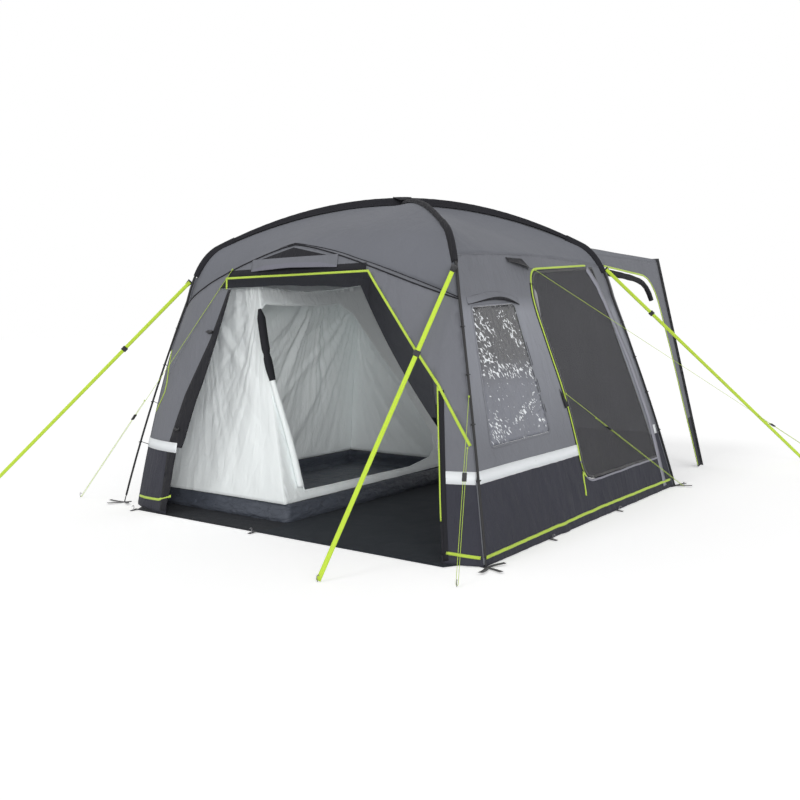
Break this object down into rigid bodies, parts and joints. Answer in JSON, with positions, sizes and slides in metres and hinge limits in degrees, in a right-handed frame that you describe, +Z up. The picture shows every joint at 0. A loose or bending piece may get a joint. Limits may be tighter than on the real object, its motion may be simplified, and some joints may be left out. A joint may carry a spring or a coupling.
{
  "type": "drive-away campervan awning",
  "caption": "Dome awning on two crossing poles, with a hung bedroom, a tunnel to the van, a wide front door, a mesh side door, a clear window, hooded vents, guy ropes and storm straps.",
  "frame": {"origin": "on the ground, on the groundsheet's underside, straight below the crossing of the two poles", "axes": "+Z up; +Y from the front door through the tunnel to the van; +X towards the side with the window and the mesh door"},
  "size_m": [4.9978, 5.0505, 2.123],
  "materials": {
    "roof_fabric": "coated polyester, satin",
    "wall_fabric": "coated polyester, satin",
    "black_fabric": "woven, matt",
    "inner_fabric": "breathable polyester, matt",
    "tub_fabric": "laminated polyethylene, satin",
    "mesh_fabric": "fine mesh, matt",
    "lime_webbing": "woven, matt",
    "clear_vinyl": "clear, glossy",
    "black_plastic": "moulded, satin",
    "glass_fibre": "pultruded glass fibre, satin",
    "steel": "powder coated steel tube"
  },
  "bodies": {
    "awning": {"roof_front": "roof_fabric", "roof_right": "roof_fabric", "roof_left": "roof_fabric", "roof_rear": "roof_fabric", "tunnel_roof": "roof_fabric", "roof_pole_front_left_to_rear_right": "glass_fibre", "roof_pole_front_right_to_rear_left": "glass_fibre", "leg_pole_front_left": "steel", "leg_pole_front_right": "steel", "leg_pole_rear_left": "steel", "leg_pole_rear_right": "steel", "sleeve_front_left_to_rear_right": "black_fabric", "sleeve_front_right_to_rear_left": "black_fabric", "crossing_cover": "black_fabric", "tunnel_end_webbing": "black_fabric", "tunnel_door_roll": "black_fabric", "foot_strap_front_left": "black_fabric", "foot_strap_front_right": "black_fabric", "foot_strap_rear_left": "black_fabric", "foot_strap_rear_right": "black_fabric", "leg_clip_front_left": "black_plastic", "leg_clip_front_right": "black_plastic", "leg_clip_rear_left": "black_plastic", "leg_clip_rear_right": "black_plastic", "front_gable": "wall_fabric", "front_wall_right": "wall_fabric", "front_wall_left": "wall_fabric", "side_wall_right": "wall_fabric", "side_wall_left": "wall_fabric", "rear_wall": "wall_fabric", "window_hood": "wall_fabric", "tunnel_side_right": "wall_fabric", "tunnel_side_left": "wall_fabric", "side_window": "clear_vinyl", "groundsheet": "tub_fabric", "bedroom_floor_tub": "tub_fabric", "bedroom_front": "inner_fabric", "bedroom_rear": "inner_fabric", "bedroom_left": "inner_fabric", "bedroom_door_side": "inner_fabric", "bedroom_roof": "inner_fabric", "bedroom_door_roll": "inner_fabric", "storm_strap_front_right": "lime_webbing", "storm_strap_front_left": "lime_webbing", "storm_strap_rear_right": "lime_webbing", "guy_front_left": "lime_webbing", "guy_front_right": "lime_webbing", "guy_side_low": "lime_webbing", "guy_side_top": "lime_webbing"},
    "side_door": {"side_door": "mesh_fabric"},
    "front_vent_hood": {"front_vent_hood": "wall_fabric"},
    "side_vent_hood": {"side_vent_hood": "black_fabric"},
    "front_door_zip_slider": {"front_door_zip_slider": "black_plastic"},
    "storm_strap_front_right_buckle": {"storm_strap_front_right_buckle": "black_plastic"},
    "storm_strap_front_left_buckle": {"storm_strap_front_left_buckle": "black_plastic"},
    "storm_strap_rear_right_buckle": {"storm_strap_rear_right_buckle": "black_plastic"},
    "guy_front_left_runner": {"guy_front_left_runner": "black_plastic"},
    "guy_front_right_runner": {"guy_front_right_runner": "black_plastic"},
    "guy_side_low_runner": {"guy_side_low_runner": "black_plastic"},
    "guy_side_top_runner": {"guy_side_top_runner": "black_plastic"}
  },
  "joints": [
    {"name": "side_door_hinge", "type": "hinge", "parent": "awning", "child": "side_door", "pos_m": [1.43252, 1.14017, 0.235], "axis": [0.2513, 0.2228, -0.9419], "range_deg": [0, 95]},
    {"name": "front_vent_hinge", "type": "hinge", "parent": "awning", "child": "front_vent_hood", "pos_m": [0, -1.097, 1.715], "axis": [-1, 0, 0], "range_deg": [0, 35]},
    {"name": "side_vent_hinge", "type": "hinge", "parent": "awning", "child": "side_vent_hood", "pos_m": [1.05729, -0.255, 1.63], "axis": [0, -1, 0], "range_deg": [0, 35]},
    {"name": "front_door_zip", "type": "slide", "parent": "awning", "child": "front_door_zip_slider", "axis": [-0.1581, 0.2129, 0.9642], "range_m": [-0.48, 0.22]},
    {"name": "storm_strap_front_right_tension", "type": "slide", "parent": "awning", "child": "storm_strap_front_right_buckle", "axis": [-0.0816, -0.5382, -0.8389], "range_m": [-0.2, 0.4]},
    {"name": "storm_strap_front_left_tension", "type": "slide", "parent": "awning", "child": "storm_strap_front_left_buckle", "axis": [-0.6442, -0.3574, -0.6762], "range_m": [-0.2, 0.4]},
    {"name": "storm_strap_rear_right_tension", "type": "slide", "parent": "awning", "child": "storm_strap_rear_right_buckle", "axis": [0.3234, 0.751, -0.5757], "range_m": [-0.2, 0.4]},
    {"name": "guy_front_left_tension", "type": "slide", "parent": "awning", "child": "guy_front_left_runner", "axis": [-0.6516, -0.1252, -0.7482], "range_m": [-0.12, 0.3]},
    {"name": "guy_front_right_tension", "type": "slide", "parent": "awning", "child": "guy_front_right_runner", "axis": [0.24, -0.4957, -0.8347], "range_m": [-0.12, 0.3]},
    {"name": "guy_side_low_tension", "type": "slide", "parent": "awning", "child": "guy_side_low_runner", "axis": [0.1475, 0.8675, -0.4751], "range_m": [-0.12, 0.3]},
    {"name": "guy_side_top_tension", "type": "slide", "parent": "awning", "child": "guy_side_top_runner", "axis": [0.3833, 0.8006, -0.4605], "range_m": [-0.12, 0.3]}
  ]
}
